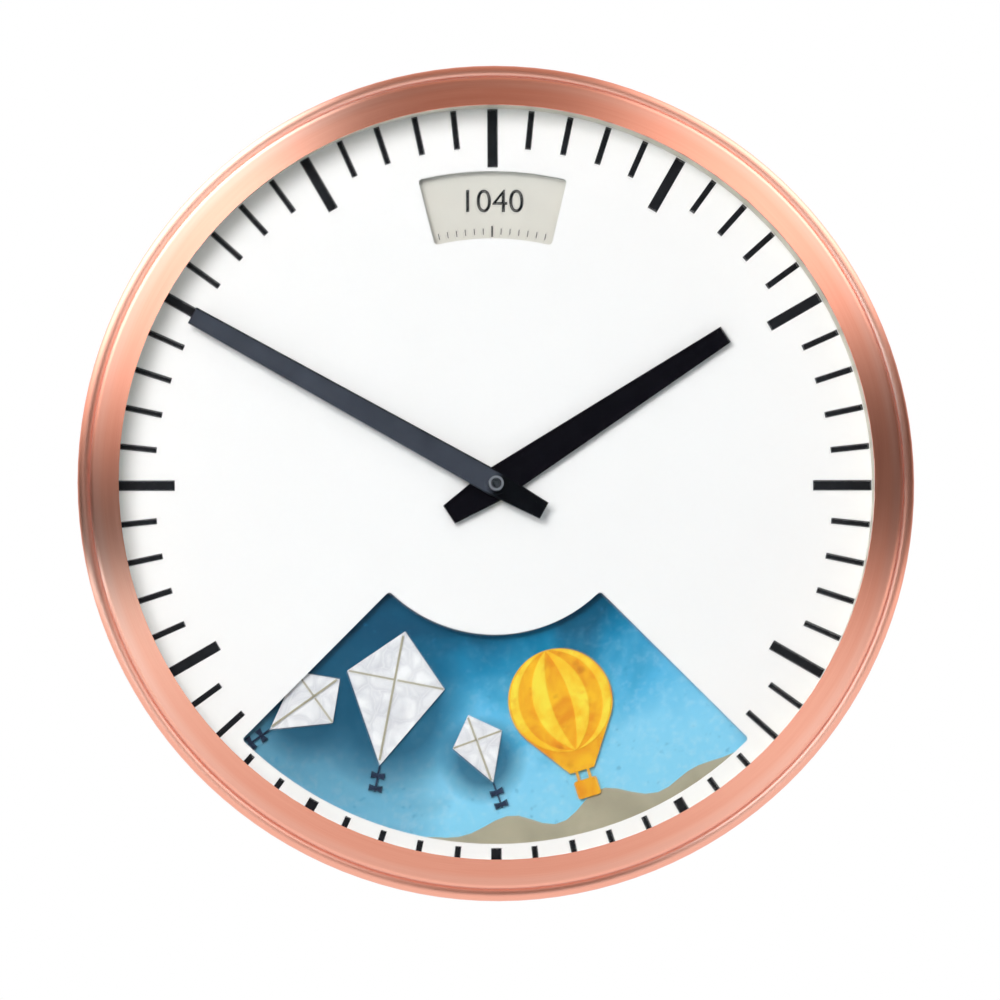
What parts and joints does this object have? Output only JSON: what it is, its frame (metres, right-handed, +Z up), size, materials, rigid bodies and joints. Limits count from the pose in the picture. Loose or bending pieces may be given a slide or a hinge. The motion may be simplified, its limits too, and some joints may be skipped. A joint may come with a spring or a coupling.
{
  "type": "weather clock",
  "caption": "Round wall clock with a copper-coloured bezel, black bar dial, square-ended hands and a geared forecast disc behind two dial windows.",
  "frame": {"origin": "on the axis of the hands, in the plane of the case's rear rim, which lies against the wall", "axes": "front faces -Y, +Y into the wall, +Z up towards 12 o'clock, +X to the right as seen from the front"},
  "size_m": [0.32, 0.066, 0.32],
  "materials": {
    "brushed_copper": "spun aluminium with a brushed copper-coloured lacquer",
    "clear_glass": "flat mineral glass",
    "black_rubber": "matt",
    "cream_card": "smooth matt cream",
    "white_dial": "smooth matt white",
    "black_print": "matt screen print",
    "band_steel": "grey powder coat",
    "black_abs": "fine moulded grain",
    "zinc_steel": "bright zinc plate",
    "chassis_aluminium": "rolled sheet",
    "brass_parts": "turned brass",
    "spring_steel": "oiled spring steel",
    "acetal_gear": "natural acetal",
    "sky_print": "thin sheet-metal disc with a matt sky-blue print",
    "cream_print": "matt card",
    "balloon_gold": "card with a matt golden print",
    "gore_yellow": "card with a matt yellow print",
    "kite_paper": "creased white paper",
    "navy_paper": "matt card",
    "taupe_paper": "matt card",
    "slate_paper": "matt card",
    "drop_paper": "matt card",
    "motor_steel": "plated can",
    "movement_abs": "moulded black plastic",
    "hand_black": "satin black paint",
    "nut_grey": "satin black plate",
    "coil_copper": "enamelled wire",
    "board_green": "solder mask",
    "cell_sleeve": "plain shrink sleeve",
    "nickel_plate": "nickel plate",
    "component_black": "moulded epoxy",
    "pot_blue": "moulded",
    "pale_knob": "fine moulded grain",
    "red_button": "fine moulded grain"
  },
  "bodies": {
    "case": {"bezel": "brushed_copper", "bezel_screws": "brushed_copper", "glass_lens": "clear_glass", "lens_gasket": "black_rubber", "spacer_ring": "cream_card", "dial_plate": "white_dial", "minute_track": "black_print", "case_band": "band_steel", "back_plate": "black_abs", "back_plate_screws": "zinc_steel", "keyhole_hanger": "zinc_steel", "hanger_rivets": "zinc_steel", "chassis_plate": "chassis_aluminium", "chassis_pillars": "brass_parts", "chassis_screws": "zinc_steel", "centre_sleeve": "brass_parts", "sleeve_circlip": "spring_steel", "stepper_motor": "motor_steel", "motor_screws": "zinc_steel", "movement_front_case": "movement_abs", "movement_rear_case": "movement_abs", "movement_washer": "brass_parts", "movement_nut": "brass_parts", "movement_coil": "coil_copper", "movement_circuit": "board_green", "movement_battery": "cell_sleeve", "movement_contacts": "nickel_plate", "battery_box": "black_abs", "battery_cells": "cell_sleeve", "battery_contacts": "nickel_plate", "control_board": "board_green", "board_components": "component_black", "pressure_sensor": "nickel_plate", "board_screws": "zinc_steel", "altitude_pot": "pot_blue", "button_switches": "component_black"},
    "minute": {"minute_hand": "hand_black", "minute_arbor": "spring_steel", "hand_nut": "nut_grey"},
    "hour": {"hour_hand": "hand_black", "hour_wheel": "brass_parts"},
    "motion_work": {"motion_wheel": "brass_parts", "set_knob": "movement_abs"},
    "forecast_disc": {"weather_hub": "acetal_gear", "weather_disc": "sky_print", "forecast_band": "cream_print", "balloon_relief": "balloon_gold", "balloon_gores": "gore_yellow", "kite_relief": "kite_paper", "kite_tails": "navy_paper", "hill_relief": "taupe_paper", "umbrella_relief": "slate_paper", "raindrop_relief": "drop_paper", "bolt_relief": "balloon_gold", "disc_screws": "zinc_steel"},
    "motor_rotor": {"motor_pinion": "acetal_gear"},
    "altitude_dial": {"altitude_knob": "pale_knob"},
    "test_key": {"test_button": "red_button"},
    "mode_key": {"mode_button": "pale_knob"},
    "battery_door": {"battery_cover": "black_abs"}
  },
  "joints": [
    {"name": "minute_hand_turn", "type": "hinge", "parent": "case", "child": "minute", "pos_m": [0, 0, 0], "axis": [0, 1, 0], "continuous": true},
    {"name": "hour_hand_turn", "type": "hinge", "parent": "case", "child": "hour", "pos_m": [0, 0, 0], "axis": [0, 1, 0], "continuous": true},
    {"name": "motion_wheel_turn", "type": "hinge", "parent": "case", "child": "motion_work", "pos_m": [0, 0, 0.012], "axis": [0, 1, 0], "continuous": true},
    {"name": "forecast_disc_turn", "type": "hinge", "parent": "case", "child": "forecast_disc", "pos_m": [0, 0, 0], "axis": [0, -1, 0], "range_deg": [0, 120]},
    {"name": "motor_pinion_turn", "type": "hinge", "parent": "case", "child": "motor_rotor", "pos_m": [0, 0, 0.0525], "axis": [0, -1, 0], "range_deg": [-720, 0]},
    {"name": "altitude_knob_turn", "type": "hinge", "parent": "case", "child": "altitude_dial", "pos_m": [0.076, 0, 0.04], "axis": [0, 1, 0], "range_deg": [0, 270]},
    {"name": "test_button_press", "type": "slide", "parent": "case", "child": "test_key", "axis": [0, -1, 0], "range_m": [0, 0.001], "stiffness_N_per_m": 400, "springref_m": -0.0005},
    {"name": "mode_button_press", "type": "slide", "parent": "case", "child": "mode_key", "axis": [0, -1, 0], "range_m": [0, 0.001], "stiffness_N_per_m": 400, "springref_m": -0.0005},
    {"name": "battery_cover_hinge", "type": "hinge", "parent": "case", "child": "battery_door", "pos_m": [0, -0.01, -0.09875], "axis": [-1, 0, 0], "range_deg": [0, 110]}
  ],
  "couplings": [
    {"joint": "hour_hand_turn", "follows": "minute_hand_turn", "ratio": 0.083333},
    {"joint": "motion_wheel_turn", "follows": "minute_hand_turn", "ratio": -0.33333},
    {"joint": "motor_pinion_turn", "follows": "forecast_disc_turn", "ratio": -6}
  ]
}
